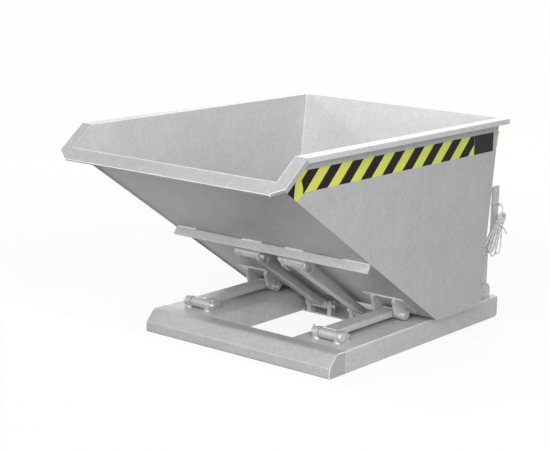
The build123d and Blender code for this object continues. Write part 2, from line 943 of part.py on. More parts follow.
half_rear_tape = half_inside - rear_tape_end_gap
with BuildPart() as rear_tape:
    with BuildSketch(side_plane(-half_rear_tape)):
        with BuildLine():
            tape_face = aside(heel, rear_direction, -tape_thickness)
            Polyline(
                meet(heel, rear_direction, level(rim_height - tape_drop), 0.0),
                meet(heel, rear_direction, level(rim_height - tape_low), 0.0),
                meet(tape_face, rear_direction, level(rim_height - tape_low), 0.0),
                meet(tape_face, rear_direction, level(rim_height - tape_drop), 0.0),
                close=True,
            )
        make_face()
    extrude(amount=2 * half_rear_tape)

# Release lever, a cranked flat bar between two upright ears on the right rail
lever_front = lever_pivot[0] - lever_width / 2
lever_back = lever_pivot[0] + lever_width / 2
bend_low = lever_pivot[1] + lever_bend_start
bend_high = bend_low + lever_bend_rise
lever_top = lever_pivot[1] + lever_length
lever_bore = bolt_radius + pin_clearance

with BuildPart() as lever_bar:
    with BuildSketch(side_plane(lever_x - lever_thickness / 2)):
        with BuildLine():
            FilletPolyline(
                (lever_front, lever_pivot[1]),
                (lever_front, bend_low),
                (lever_front + lever_crank, bend_high),
                (lever_front + lever_crank, lever_top),
                (lever_back + lever_crank, lever_top),
                (lever_back + lever_crank, bend_high),
                (lever_back, bend_low),
                (lever_back, lever_pivot[1]),
                radius=[
                    lever_bend_radius,
                    lever_bend_radius,
                    lever_corner,
                    lever_corner,
                    lever_bend_radius,
                    lever_bend_radius,
                ],
            )
            Line((lever_back, lever_pivot[1]), (lever_front, lever_pivot[1]))
        make_face()
        with Locations(lever_pivot):
            Circle(lever_width / 2)
            Circle(lever_bore, mode=Mode.SUBTRACT)
    extrude(amount=lever_thickness)

# Latch finger on the lever, which swings over the catch pin when the lever is pushed forward
hook_tip = (lever_pivot[0] - hook_reach, lever_pivot[1] + hook_height)
hook_root = meet(hook_tip, -hook_tilt, (lever_front, 0.0), 90.0)
with BuildPart() as latch_hook:
    with BuildSketch(side_plane(lever_x - lever_thickness / 2)):
        with BuildLine():
            FilletPolyline(
                hook_root,
                (lever_front, hook_tip[1] + hook_depth),
                (hook_tip[0], hook_tip[1] + hook_depth / 2),
                hook_tip,
                radius=[0, 0, hook_depth / 6, hook_depth / 8],
                close=True,
            )
        make_face()
    extrude(amount=lever_thickness)

ear_front = lever_pivot[0] - lever_ear_width / 2
ear_back = lever_pivot[0] + lever_ear_width / 2
lever_ear_inner = lever_thickness / 2 + lever_side_gap
lever_ear_outer = lever_ear_inner + lever_ear_thickness
lever_ear_planes = [side_plane(lever_x + lever_ear_inner), side_plane(lever_x - lever_ear_outer)]
with BuildPart() as lever_ears:
    with BuildSketch(*lever_ear_planes):
        with BuildLine():
            FilletPolyline(
                (ear_front, base_height),
                (ear_front, base_height + lever_ear_height),
                (ear_back, base_height + lever_ear_height),
                (ear_back, base_height),
                radius=lever_ear_corner,
            )
            Line((ear_back, base_height), (ear_front, base_height))
        make_face()
        with Locations(lever_pivot):
            Circle(lever_bore, mode=Mode.SUBTRACT)
    extrude(amount=lever_ear_thickness)

with BuildPart() as lever_washers:
    ring_gap = pin_seat_gap / 2
    ring_planes = [
        side_plane(lever_x + lever_thickness / 2 + ring_gap),
        side_plane(lever_x - lever_ear_inner + ring_gap),
    ]
    with BuildSketch(*ring_planes):
        with Locations(lever_pivot):
            Circle(lever_washer_radius)
            Circle(lever_bore, mode=Mode.SUBTRACT)
    extrude(amount=lever_side_gap - 2 * ring_gap)

with BuildPart() as lever_bolt:
    with BuildSketch(side_plane(lever_x - lever_ear_outer - 1.5 * nut_height)):
        with Locations(lever_pivot):
            Circle(bolt_radius)
    extrude(amount=2 * lever_ear_outer + 1.5 * nut_height)
    with BuildSketch(side_plane(lever_x + lever_ear_outer)):
        with Locations(lever_pivot):
            Circle(cup_head_radius)
    extrude(amount=cup_head)
    fillet(lever_bolt.edges().filter_by(GeomType.CIRCLE).sort_by(Axis.X)[-1], 0.7 * cup_head)

with BuildPart() as lever_nut:
    with BuildSketch(side_plane(lever_x - lever_ear_outer - nut_height)):
        with Locations(lever_pivot):
            RegularPolygon(nut_radius, 6)
            Circle(lever_bore, mode=Mode.SUBTRACT)
    extrude(amount=nut_height)

# Catch on the rear wall: two ears with a pin between them, which the latch finger holds down
catch_point = (
    hook_tip[0] - catch_pin_gap - catch_pin_radius,
    hook_tip[1] - catch_pin_drop,
)
catch_planes = [
    side_plane(lever_x + catch_ear_gap / 2),
    side_plane(lever_x - catch_ear_gap / 2 - catch_ear_thickness),
]
with BuildPart() as catch_ears:
    with BuildSketch(*catch_planes):
        with BuildLine():
            Polyline(
                meet(heel, rear_direction, level(catch_point[1] - catch_ear_root / 2), 0.0),
                (catch_point[0], catch_point[1] - catch_ear_radius),
                (catch_point[0], catch_point[1] + catch_ear_radius),
                meet(heel, rear_direction, level(catch_point[1] + catch_ear_root / 2), 0.0),
                close=True,
            )
        make_face()
        with Locations(catch_point):
            Circle(catch_ear_radius)
            Circle(catch_pin_radius + pin_clearance, mode=Mode.SUBTRACT)
    extrude(amount=catch_ear_thickness)

catch_pin_half = catch_ear_gap / 2 + catch_ear_thickness
with BuildPart() as catch_pin:
    with BuildSketch(side_plane(lever_x - catch_pin_half)):
        with Locations(catch_point):
            Circle(catch_pin_radius)
    extrude(amount=2 * catch_pin_half)


# Rope: one turn round the lever, then down to the hank


def rope_radii(points):
    """The largest tangent arcs that the runs beside each inner point allow."""
    radii = []
    for before, here, after in zip(points, points[1:], points[2:]):
        arriving = Vector(*here) - Vector(*before)
        leaving = Vector(*after) - Vector(*here)
        half_turn = radians(arriving.get_angle(leaving)) / 2
        run = min(arriving.length, leaving.length)
        radii.append(rope_arc_share * run / tan(half_turn))
    return radii


rope_points = [(x, front_y + y, z) for x, y, z in rope_route]
rope_bends = rope_radii(rope_points)
print("rope bend radii", [round(radius, 1) for radius in rope_bends])

with BuildPart() as rope_lead:
    with BuildLine() as rope_path:
        FilletPolyline(*rope_points, radius=rope_bends)
    with BuildSketch(Plane(origin=rope_path.line @ 0, z_dir=rope_path.line % 0)):
        Circle(rope_radius)
    sweep(path=rope_path.line)

with BuildPart() as rope_hank:
    with BuildSketch(side_plane(lever_x + lever_thickness / 2 + hank_side_gap)):
        with Locations(hank_center):
            SlotOverall(hank_length, hank_width, rotation=hank_turn)
    extrude(amount=hank_thickness)
    fillet(rope_hank.faces().filter_by(Axis.X).edges(), hank_edge)

pieces = {
    "front_beam": front_beam,
    "beam_end_caps": beam_end_caps,
    "beam_web": beam_web,
    "rail_left": rail_left,
    "rail_right": rail_right,
    "pocket_floor_left": pocket_floor_left,
    "pocket_floor_right": pocket_floor_right,
    "rear_sill": rear_sill,
    "link_plate": link_plate,
    "arm_lugs": arm_lugs,
    "arm_base_pins": arm_base_pins,
    "link_lugs": link_lugs,
    "link_base_pins": link_base_pins,
    "base_washers": base_washers,
    "base_split_pins": base_split_pins,
    "lever_ears": lever_ears,
    "lever_bolt": lever_bolt,
    "lever_nut": lever_nut,
    "lever_washers": lever_washers,
    "arm_bar_left": arm_bar_left,
    "arm_bar_right": arm_bar_right,
    "arm_front_tubes": arm_front_tubes,
    "arm_rear_tubes": arm_rear_tubes,
    "link_bar_left": link_bar_left,
    "link_bar_right": link_bar_right,
    "link_lower_tubes": link_lower_tubes,
    "link_upper_tubes": link_upper_tubes,
    "link_top_pins": link_top_pins,
    "link_top_washers": link_top_washers,
    "link_split_pins": link_split_pins,
    "slope_sheet": slope_sheet,
    "bottom_sheet": bottom_sheet,
    "rear_wall": rear_wall,
    "rear_hem": rear_hem,
    "side_wall_left": side_wall_left,
    "side_wall_right": side_wall_right,
    "rim_left": rim_left,
    "rim_right": rim_right,
    "lip_side_left": lip_side_left,
    "lip_side_right": lip_side_right,
    "lip_front": lip_front,
    "rest_strips": rest_strips,
    "crossbar": crossbar,
    "arm_doublers": arm_doublers,
    "arm_ears": arm_ears,
    "ear_washers": ear_washers,
    "bucket_pins": bucket_pins,
    "bucket_washers": bucket_washers,
    "bucket_split_pins": bucket_split_pins,
    "link_ears": link_ears,
    "catch_ears": catch_ears,
    "catch_pin": catch_pin,
    "side_tapes": side_tapes,
    "front_tapes": front_tapes,
    "rear_tape": rear_tape,
    "data_plates": data_plates,
    "lever_bar": lever_bar,
    "latch_hook": latch_hook,
    "rope_lead": rope_lead,
    "rope_hank": rope_hank,
}

os.makedirs("parts", exist_ok=True)
for name, piece in pieces.items():
    piece.part.label = name
    export_step(piece.part, f"parts/{name}.step")
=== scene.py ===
from math import cos, pi, radians, sin

import bpy
from mathutils import Matrix, Vector


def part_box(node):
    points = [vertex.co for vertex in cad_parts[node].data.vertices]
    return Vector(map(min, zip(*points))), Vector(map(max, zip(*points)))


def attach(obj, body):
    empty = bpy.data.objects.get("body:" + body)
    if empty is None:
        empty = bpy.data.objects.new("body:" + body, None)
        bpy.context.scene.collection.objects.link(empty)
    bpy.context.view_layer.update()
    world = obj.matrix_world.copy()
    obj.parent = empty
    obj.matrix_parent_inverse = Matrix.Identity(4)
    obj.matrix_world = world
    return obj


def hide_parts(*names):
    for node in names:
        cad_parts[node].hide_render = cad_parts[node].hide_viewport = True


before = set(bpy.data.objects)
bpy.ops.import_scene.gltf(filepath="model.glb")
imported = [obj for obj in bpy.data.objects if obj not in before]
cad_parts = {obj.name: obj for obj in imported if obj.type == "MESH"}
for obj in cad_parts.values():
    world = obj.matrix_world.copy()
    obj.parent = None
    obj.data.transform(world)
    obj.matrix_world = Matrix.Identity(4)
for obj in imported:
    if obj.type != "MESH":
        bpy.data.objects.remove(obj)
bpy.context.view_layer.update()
mm = 0.001

# The front beam is one sheet, folded into a nose with a slanted top and capped at both ends.
# It is steel plate, welded up and dipped in molten zinc with the rest of the base, which leaves
# a matt grey skin with fine crystals, faint clouds and a few specks of dross.
class Wire:
    """An output of a node, with the operators that add Math nodes behind it."""

    def __init__(self, plan, socket):
        self.plan = plan
        self.socket = socket

    def math(self, operation, *values):
        return self.plan.node("ShaderNodeMath", {"operation": operation}, dict(enumerate(values)))

    def __add__(self, other):
        return self.math("ADD", self, other)

    def __radd__(self, other):
        return self.math("ADD", other, self)

    def __sub__(self, other):
        return self.math("SUBTRACT", self, other)

    def __rsub__(self, other):
        return self.math("SUBTRACT", other, self)

    def __mul__(self, other):
        return self.math("MULTIPLY", self, other)

    def __rmul__(self, other):
        return self.math("MULTIPLY", other, self)

    def __truediv__(self, other):
        return self.math("DIVIDE", self, other)

    def __lt__(self, other):
        return self.math("LESS_THAN", self, other)

    def __gt__(self, other):
        return self.math("GREATER_THAN", self, other)


class Plan:
    """A node tree in the making, for a finish or for a shape that follows a line."""

    def __init__(self, tree):
        self.tree = tree

    def node(self, kind, settings={}, sockets={}, output=0):
        made = self.tree.nodes.new(kind)
        for setting, value in settings.items():
            setattr(made, setting, value)
        for socket, value in sockets.items():
            if isinstance(value, Wire):
                self.tree.links.new(value.socket, made.inputs[socket])
            else:
                made.inputs[socket].default_value = value
        return Wire(self, made.outputs[output]) if made.outputs else None


class Finish(Plan):
    """A material in the making, on the object's own coordinates."""

    def __init__(self, name):
        self.material = bpy.data.materials.new(name)
        self.material.use_nodes = True
        super().__init__(self.material.node_tree)
        self.tree.nodes.clear()
        self.place = self.node("ShaderNodeTexCoord", output="Object")

    def stretched(self, scale):
        return self.node("ShaderNodeMapping", sockets={"Vector": self.place, "Scale": scale})

    def noise(self, grains_per_metre, detail=2.0, place=None):
        sockets = {"Vector": place or self.place, "Scale": grains_per_metre, "Detail": detail}
        return self.node("ShaderNodeTexNoise", {}, sockets)

    def cells(self, cells_per_metre, output, place=None):
        sockets = {"Vector": place or self.place, "Scale": cells_per_metre}
        return self.node("ShaderNodeTexVoronoi", {}, sockets, output)

    def chance(self, cell_colour):
        return self.node("ShaderNodeSeparateColor", {}, {"Color": cell_colour}, "Red")

    def ragged(self, reach, grains_per_metre):
        """The place, shifted a little by noise, so that edges of cells aren't straight."""
        noise = {"Vector": self.place, "Scale": grains_per_metre, "Detail": 2.0}
        shift = self.node("ShaderNodeTexNoise", {}, noise, "Color")
        return self.node("ShaderNodeVectorMath", {"operation": "MULTIPLY_ADD"}, {
            0: shift, 1: (reach, reach, reach), 2: self.place,
        })

    def facing(self, point):
        """1 where the surface faces a point, and 0 where it faces away."""
        normal = self.node("ShaderNodeTexCoord", output="Normal")
        towards = self.node("ShaderNodeVectorMath", {"operation": "SUBTRACT"}, {
            0: point, 1: self.place,
        })
        sight = {"operation": "DOT_PRODUCT"}
        return self.node("ShaderNodeVectorMath", sight, {0: normal, 1: towards}, "Value") > 0.0

    def ramp(self, value, low, high):
        """0 below low, 1 above high and smooth between them, or the other way round."""
        sockets = {"Value": value, "From Min": low, "From Max": high}
        return self.node("ShaderNodeMapRange", {"interpolation_type": "SMOOTHSTEP"}, sockets)

    def mix(self, share, first, second):
        settings = {"data_type": "RGBA", "clamp_factor": False}
        return self.node("ShaderNodeMix", settings, {0: share, 6: first, 7: second}, 2)

    def relief(self, height, depth, strength=1.0):
        sockets = {"Height": height, "Distance": depth, "Strength": strength}
        return self.node("ShaderNodeBump", {}, sockets)

    def close(self, sockets):
        skin = self.node("ShaderNodeBsdfPrincipled", {}, sockets)
        self.node("ShaderNodeOutputMaterial", {}, {"Surface": skin})
        return self.material


def grey(level):
    return (level, level, level, 1.0)


def hot_dipped_zinc(name, dull, bright, crystal, sheen, runs, painted_light_point=None):
    """Zinc from a hot bath, with crystals of a given size and faint runs from the dripping.

    Where a point is given, the faces turned to it are paler: painted light for a lit hollow.
    """
    finish = Finish(name)
    clouds = finish.noise(2.6, 4.0)
    blotch = finish.noise(17.0, 3.0)
    grain = finish.noise(330.0, 3.0)
    tooth = finish.noise(950.0, 2.0)
    ragged = finish.ragged(0.35 * crystal, 2 / crystal)
    facet = finish.chance(finish.cells(1 / crystal, "Color", ragged))
    flake = finish.chance(finish.cells(2.3 / crystal, "Color", ragged))
    drips = finish.noise(1.0, 3.0, finish.stretched((34.0, 34.0, 1.6)))
    specks_per_metre = 26.0
    speck_cell = finish.cells(specks_per_metre, "Color")
    speck_spot = finish.ramp(finish.cells(specks_per_metre, "Distance"), 0.11, 0.05)
    specks = speck_spot * (finish.chance(speck_cell) > 0.72)
    tone = 0.5 + (clouds - 0.5) * 0.55 + (blotch - 0.5) * 0.4
    tone = tone + (facet - 0.5) * 0.28 + (flake - 0.5) * 0.22
    tone = tone + (grain - 0.5) * 0.8 + (tooth - 0.5) * 0.4 + (drips - 0.5) * runs
    tone = tone - specks * 0.12
    # Painted light: the faces turned to the given point are made paler.
    if painted_light_point:
        tone = tone + finish.facing(painted_light_point) * 0.46
    gloss = sheen + (facet - 0.5) * 0.08 + (grain - 0.5) * 0.10 + (clouds - 0.5) * 0.10
    height = grain * 0.35 + tooth * 0.25 + specks * 0.9 + blotch * 0.5
    return finish.close({
        "Base Color": finish.mix(tone, grey(dull), grey(bright)),
        "Metallic": 0.18,
        "Roughness": gloss,
        "Normal": finish.relief(height, 0.35 * mm, 0.1),
    })


def dress(finish, *nodes):
    """Give the solids of some nodes a finish."""
    for name in nodes:
        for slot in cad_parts[name].material_slots:
            slot.material = finish


beam_zinc = hot_dipped_zinc(
    "beam_zinc", dull=0.35, bright=0.545, crystal=9 * mm, sheen=0.37, runs=0.15,
)
dress(beam_zinc, "front_beam", "beam_end_caps", "beam_web")
base_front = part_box("front_beam")[0].y
half_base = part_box("front_beam")[1].x
beam_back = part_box("front_beam")[1].y
beam_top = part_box("front_beam")[1].z

# The rails are folded channels over the fork pockets, with a floor plate in each pocket.
# Plate of the same thickness as the beam, butted to it and welded along the seam.
rail_zinc = hot_dipped_zinc(
    "rail_zinc", dull=0.43, bright=0.68, crystal=9 * mm, sheen=0.33, runs=0.15,
)
dress(rail_zinc, "rail_left", "rail_right", "pocket_floor_left", "pocket_floor_right")
rail_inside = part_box("rail_right")[0].x

# The link plate and the rear sill tie the rails together, low between them and at the back.
# Sheared plate and a bent angle, welded to the rails.
section_zinc = hot_dipped_zinc(
    "section_zinc", dull=0.46, bright=0.74, crystal=7 * mm, sheen=0.37, runs=0.05,
)
dress(section_zinc, "link_plate", "rear_sill")

# The base's lugs are flame-cut blocks, welded to the rails and to the link plate, two for each
# pivot tube. A turned pin runs through each pair, with a round head, a washer and a split pin.
# The lever's two ears are thinner and hold a bolt.
dress(beam_zinc, "arm_lugs")
dress(section_zinc, "link_lugs", "lever_ears")


def turned_zinc(name, dull, bright, sheen):
    """Bright zinc on turned steel: fine rings from the lathe and dull handling marks."""
    finish = Finish(name)
    rings = finish.noise(1.0, 2.0, finish.stretched((2600.0, 70.0, 70.0)))
    marks = finish.noise(120.0, 4.0)
    clouds = finish.noise(24.0, 2.0)
    tone = 0.5 + (marks - 0.5) * 0.9 + (clouds - 0.5) * 0.6 + (rings - 0.5) * 0.3
    return finish.close({
        "Base Color": finish.mix(tone, grey(dull), grey(bright)),
        "Metallic": 0.6,
        "Roughness": sheen + (marks - 0.5) * 0.12,
        "Normal": finish.relief(rings * 0.6 + marks * 0.4, 0.08 * mm, 0.6),
    })


pin_zinc = turned_zinc("pin_zinc", dull=0.46, bright=0.74, sheen=0.36)
dress(pin_zinc, "arm_base_pins", "link_base_pins", "base_washers", "base_split_pins")
dress(section_zinc, "lever_bolt", "lever_nut", "lever_washers")

# The base's welds are beads laid by hand along every seam: round the beam's caps, down and across
# the joints of beam and rails and at the feet of the lugs. The bead along each rail's outer top
# bend is partly a run of zinc and partly a painted highlight.
# Each bead is a row of small overlapping ripples, and its zinc is a little brighter.
class Shape(Plan):
    """A tree of geometry nodes in the making, with named inputs, that follows a line."""

    def __init__(self, name, inputs):
        super().__init__(bpy.data.node_groups.new(name, "GeometryNodeTree"))
        socket = self.tree.interface.new_socket
        for label, kind in inputs.items():
            socket(label, in_out="INPUT", socket_type="NodeSocket" + kind)
        socket("Piece", in_out="OUTPUT", socket_type="NodeSocketGeometry")
        entry = self.tree.nodes.new("NodeGroupInput")
        self.given = {out.name: Wire(self, out) for out in entry.outputs if out.name}

    def close(self, geometry):
        whole = self.node("GeometryNodeRealizeInstances", {}, {"Geometry": geometry})
        done = self.node("GeometryNodeSetMaterial", {}, {
            "Geometry": whole, "Material": self.given["Finish"],
        })
        self.node("NodeGroupOutput", {}, {0: done})
        return self.tree


def weld_ripples():
    """Ripples along lines. The radius of a line's points is its width, as a share."""
    shape = Shape("weld_ripples", {
        "Lines": "Geometry", "Bead Width": "Float", "Ripple Spacing": "Float",
        "Corner Radius": "Float", "Finish": "Material",
    })
    given = shape.given
    narrowest, widest, seed = 0.82, 1.08, 11
    squeeze = 0.95
    rounded = shape.node("GeometryNodeFilletCurve", {"mode": "POLY"}, {
        "Curve": given["Lines"], "Radius": given["Corner Radius"],
        "Count": 4, "Limit Radius": True,
    })
    stepped = shape.node("GeometryNodeResampleCurve", {"mode": "LENGTH"}, {
        "Curve": rounded, "Length": given["Ripple Spacing"],
    })
    ball = shape.node("GeometryNodeMeshUVSphere", {}, {"Segments": 8, "Rings": 5, "Radius": 0.5})
    ripple = shape.node("GeometryNodeSetShadeSmooth", {}, {0: ball})
    turn = shape.node("FunctionNodeAlignRotationToVector", {"axis": "X"}, {
        "Vector": shape.node("GeometryNodeInputTangent"),
    })
    unevenness = shape.node("FunctionNodeRandomValue", {"data_type": "FLOAT"}, {
        2: narrowest, 3: widest, "Seed": seed,
    }, 1)
    size = shape.node("GeometryNodeInputRadius") * given["Bead Width"] * unevenness
    scale = shape.node("ShaderNodeCombineXYZ", {}, {0: size * squeeze, 1: size, 2: size})
    return shape.close(shape.node("GeometryNodeInstanceOnPoints", {}, {
        "Points": stepped, "Instance": ripple, "Rotation": turn, "Scale": scale,
    }))


def run_along(name, lines, tree, inputs):
    """A plain mesh that a tree makes along lines, each a share of its width and its points."""
    curve = bpy.data.curves.new(name + "_lines", "CURVE")
    curve.dimensions = "3D"
    for share, points in lines:
        spline = curve.splines.new("POLY")
        spline.points.add(len(points) - 1)
        for knot, point in zip(spline.points, points):
            knot.co = (*point, 1.0)
            knot.radius = share
    worker = bpy.data.objects.new(name + "_lines", curve)
    bpy.context.collection.objects.link(worker)
    modifier = worker.modifiers.new("shape", "NODES")
    modifier.node_group = tree
    for item in tree.interface.items_tree:
        if item.in_out == "INPUT" and item.name in inputs:
            modifier[item.identifier] = inputs[item.name]
    graph = bpy.context.evaluated_depsgraph_get()
    mesh = bpy.data.meshes.new_from_object(worker.evaluated_get(graph), depsgraph=graph)
    mesh.name = name
    worker.modifiers.remove(modifier)
    bpy.data.objects.remove(worker)
    piece = bpy.data.objects.new(name, mesh)
    bpy.context.collection.objects.link(piece)
    return piece


bead_width = 6 * mm
ripple_spacing = 0.55 * bead_width
seam_bend = 16 * mm
ripples = weld_ripples()
weld_zinc = hot_dipped_zinc(
    "weld_zinc", dull=0.62, bright=0.92, crystal=5 * mm, sheen=0.36, runs=0.0,
)


def weld(name, body, lines):
    """Lay beads along lines, each a share of the bead's width and its points, on one body."""
    piece = run_along(name, lines, ripples, {
        "Bead Width": bead_width, "Ripple Spacing": ripple_spacing,
        "Corner Radius": seam_bend, "Finish": weld_zinc,
    })
    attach(piece, body)


level_slack = 0.5 * mm


def foot_lines(node, gap, share, covered=1.0):
    """Beads along a part of the front and back of the feet of the blocks in a node."""
    points = [v.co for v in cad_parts[node].data.vertices]
    low = min(p.z for p in points)
    feet = [p for p in points if p.z < low + level_slack]
    groups = []
    for point in sorted(feet, key=lambda p: p.x):
        if not groups or point.x - groups[-1][-1].x > gap:
            groups.append([])
        groups[-1].append(point)
    lines = []
    for group in groups:
        right = group[-1].x
        left = right + (group[0].x - right) * covered
        for y in (min(p.y for p in group), max(p.y for p in group)):
            lines.append((share, [Vector((left, y, low)), Vector((right, y, low))]))
    return lines


lug_gap = 30 * mm
lever_gap = 6 * mm
base_lines = foot_lines("arm_lugs", lug_gap, share=1.3, covered=0.45)
base_lines += foot_lines("link_lugs", lug_gap, share=1.1, covered=0.7)
base_lines += foot_lines("lever_ears", lever_gap, share=1.0)
plate_edge = 3 * mm
rail_round = 2.6 * mm
crest_setback = 46 * mm
face_height = 41 * mm
rail_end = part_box("rail_right")[1].y
plate_front, plate_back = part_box("link_plate")
# The edge bead on each rail's outer top bend is partly a painted highlight.
cap_bead, joint_bead, edge_run_and_highlight_bead, plate_bead = 0.8, 0.45, 0.5, 0.9
for side in (-1, 1):
    edge = side * half_base
    corner = edge - side * rail_round
    cap_top = beam_top - plate_edge
    corner_top = beam_top - rail_round
    base_lines += [
        (cap_bead, [
            (edge, beam_back, cap_top),
            (edge, base_front + crest_setback, cap_top),
            (edge, base_front + plate_edge, face_height),
            (edge, base_front + plate_edge, plate_edge),
        ]),
        (joint_bead, [(edge, beam_back, plate_edge), (edge, beam_back, cap_top)]),
        (edge_run_and_highlight_bead, [(corner, beam_back, corner_top), (corner, rail_end, corner_top)]),
        (plate_bead, [
            (side * rail_inside, plate_front.y, plate_back.z),
            (side * rail_inside, plate_back.y, plate_back.z),
        ]),
    ]
weld("base_welds", "base", base_lines)

# The front arms are two flat box sections just above the rails, with a pivot tube welded across
# each end. Cold-formed tube, coped to fit round the pivot tubes, with a bead along each cope.
bar_zinc = hot_dipped_zinc(
    "bar_zinc", dull=0.42, bright=0.66, crystal=6 * mm, sheen=0.33, runs=0.05,
)
dress(bar_zinc, "arm_bar_left", "arm_bar_right")
dress(beam_zinc, "arm_front_tubes", "arm_rear_tubes")
cope_depth = 1.5 * mm
cope_margin = 3 * mm
cope_bead = 0.8


def cope_lines(bars, direction):
    """Beads across the top and bottom of box bars, just inside their two ends there."""
    lines = []
    across = Vector((1.0, 0.0, 0.0))
    upward = across.cross(direction)
    for node in bars:
        points = [v.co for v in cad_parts[node].data.vertices]
        left = min(p.x for p in points) + cope_margin
        right = max(p.x for p in points) - cope_margin
        heights = [p.dot(upward) for p in points]
        for level in (min(heights), max(heights)):
            run = [p.dot(direction) for p in points if abs(p.dot(upward) - level) < level_slack]
            for station in (min(run) + cope_depth, max(run) - cope_depth):
                ends = [x * across + station * direction + level * upward for x in (left, right)]
                lines.append((cope_bead, ends))
    return lines


backward = Vector((0.0, 1.0, 0.0))
weld("arm_welds", "front_arms", cope_lines(("arm_bar_left", "arm_bar_right"), backward))

# The centre links are two slimmer box sections from the link plate up to the slope, made like the
# arms. Their upper tubes turn on pins with washers and split pins.
dress(bar_zinc, "link_bar_left", "link_bar_right", "link_lower_tubes", "link_upper_tubes")
dress(pin_zinc, "link_top_pins", "link_top_washers", "link_split_pins")


def middle(node):
    """The middle of a node's box."""
    low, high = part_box(node)
    return (low + high) / 2


up_link = (middle("link_upper_tubes") - middle("link_lower_tubes")).normalized()
weld("link_welds", "centre_links", cope_lines(("link_bar_left", "link_bar_right"), up_link))

# The bucket's bottom, slope, rear wall and side walls are thin sheet, cut and folded, then welded
# along the corners and hot-dipped as one piece. The zinc on thin sheet is duller, with larger
# crystals. Its faces turned into the bucket are paler: painted light for the lit inside.
bucket_middle = (0.0, 0.1, 0.62)
sheet_zinc = hot_dipped_zinc(
    "bucket_sheet_zinc", dull=0.41, bright=0.60, crystal=11 * mm, sheen=0.48, runs=0.22,
    painted_light_point=bucket_middle,
)
dress(sheet_zinc, "slope_sheet", "bottom_sheet", "side_wall_left", "side_wall_right")
# The rear wall's zinc is a paler copy of the sheet's: painted light where it faces the lamps.
rear_painted_light_zinc = hot_dipped_zinc(
    "rear_wall_zinc", dull=0.44, bright=0.635, crystal=11 * mm, sheen=0.48, runs=0.22,
    painted_light_point=bucket_middle,
)
dress(rear_painted_light_zinc, "rear_wall")
slope_low, slope_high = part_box("slope_sheet")
slope_angle = radians(33.57)
fold = Vector((0.0, slope_high.y, slope_low.z))
up_slope = Vector((0.0, -cos(slope_angle), sin(slope_angle)))
under_slope = Vector((0.0, -sin(slope_angle), -cos(slope_angle)))


def on_slope(x, along, below):
    """A point so far up the slope from its fold, and so far below the underside of its sheet."""
    return Vector((x, 0.0, 0.0)) + fold + along * up_slope + below * under_slope


# The bucket's rim is a flange with a downturned edge along both sides, a thick hem along the back
# and a tilted lip round the pouring edge. Folded from the walls and mitred at the corners.
# The rim's zinc is a paler copy of the sheet's: painted light on the rim's top and face.
rim_zinc = hot_dipped_zinc(
    "rim_zinc", dull=0.50, bright=0.72, crystal=10 * mm, sheen=0.37, runs=0.05,
)
dress(rim_zinc, "rim_left", "rim_right", "rear_hem")
# The lip's zinc is a darker copy of the same: painted shade on the tilted lip.
lip_zinc = hot_dipped_zinc(
    "lip_zinc", dull=0.32, bright=0.465, crystal=10 * mm, sheen=0.37, runs=0.05,
)
dress(lip_zinc, "lip_side_left", "lip_side_right", "lip_front")

# The crossbar is a bent angle across the slope, stitched on with short welds. It stiffens the
# sheet and lands on the front beam when the bucket is tipped. Flat strips under the bottom carry
# the bucket on the rails.
dress(section_zinc, "crossbar", "rest_strips")

# The brackets for the arms are doubling plates on the slope with two thick ears each, and slotted
# ears hold the links. Flame-cut plate, welded to the sheet, with pins, washers and split pins like
# those of the base. The catch for the latch has two ears and a pin on the rear wall.
dress(section_zinc, "arm_doublers", "arm_ears", "link_ears", "catch_ears")
dress(pin_zinc, "ear_washers", "bucket_pins", "bucket_washers", "bucket_split_pins", "catch_pin")

# The bucket's welds: full seams inside the corners, stitches along the top of the crossbar, and
# beads along the tops of the brackets and across the webs between the links' ears.
wall_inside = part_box("slope_sheet")[1].x
rear_low, rear_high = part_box("rear_wall")
sheet_thickness = 3 * mm
bead_lift = 1 * mm
seam_start = 2 * mm
hem_gap = 4 * mm
slope_length = 1010 * mm
inside_bottom = fold.z + sheet_thickness
inside_slope = -sheet_thickness - bead_lift
bottom_bead, corner_bead = 0.7, 0.9
bucket_lines = []
for side in (-1, 1):
    seam = side * (wall_inside - bead_lift)
    bucket_lines += [
        (bottom_bead, [
            on_slope(seam, seam_start, inside_slope), on_slope(seam, slope_length, inside_slope),
        ]),
        (bottom_bead, [
            Vector((seam, fold.y, inside_bottom + bead_lift)),
            Vector((seam, rear_low.y, inside_bottom + bead_lift)),
        ]),
        (corner_bead, [
            Vector((seam, rear_low.y, inside_bottom)),
            Vector((seam, rear_high.y - sheet_thickness, rear_high.z - hem_gap)),
        ]),
    ]


def across_slope(share, left, right, along, below):
    """A bead across the underside of the slope, with its place in millimetres."""
    return share, [on_slope(x * mm, along * mm, below * mm) for x in (left, right)]


stitch_bead, bracket_bead, ear_bead = 1.6, 1.3, 1.0
crossbar_top, crossbar_leg = 556, 3
crossbar_stitches = ((-488, -388), (-138, -42), (85, 167), (366, 486))
for left, right in crossbar_stitches:
    bucket_lines.append(across_slope(stitch_bead, left, right, crossbar_top, crossbar_leg))
doubler_top, doubler_face = 173, 2.5
doubler_sides = (234.5, 424.5)
ear_top, ear_face = 164, 7
ear_sides = ((270, 285), (374, 389))
web_top, web_face = 534, 48
web_sides = (52, 172)
for side in (-1, 1):
    inner, outer = doubler_sides
    bucket_lines.append(
        across_slope(bracket_bead, side * inner, side * outer, doubler_top, doubler_face)
    )
    for inner, outer in ear_sides:
        bucket_lines.append(across_slope(ear_bead, side * inner, side * outer, ear_top, ear_face))
    inner, outer = web_sides
    bucket_lines.append(across_slope(ear_bead, side * inner, side * outer, web_top, web_face))

# The lip's welds: a thin run of zinc along its inner and outer edges, a filled corner at each end
# and a bead across the mitre between lip and rim. The runs along the edges are partly zinc and
# partly painted highlight: pale beads where the lip's bends catch the light.
def on_lip(x, profile_point):
    """A point of the lip's profile at a width, in millimetres from the beam's front."""
    y, z = profile_point
    return Vector((x * mm, base_front + y * mm, z * mm))


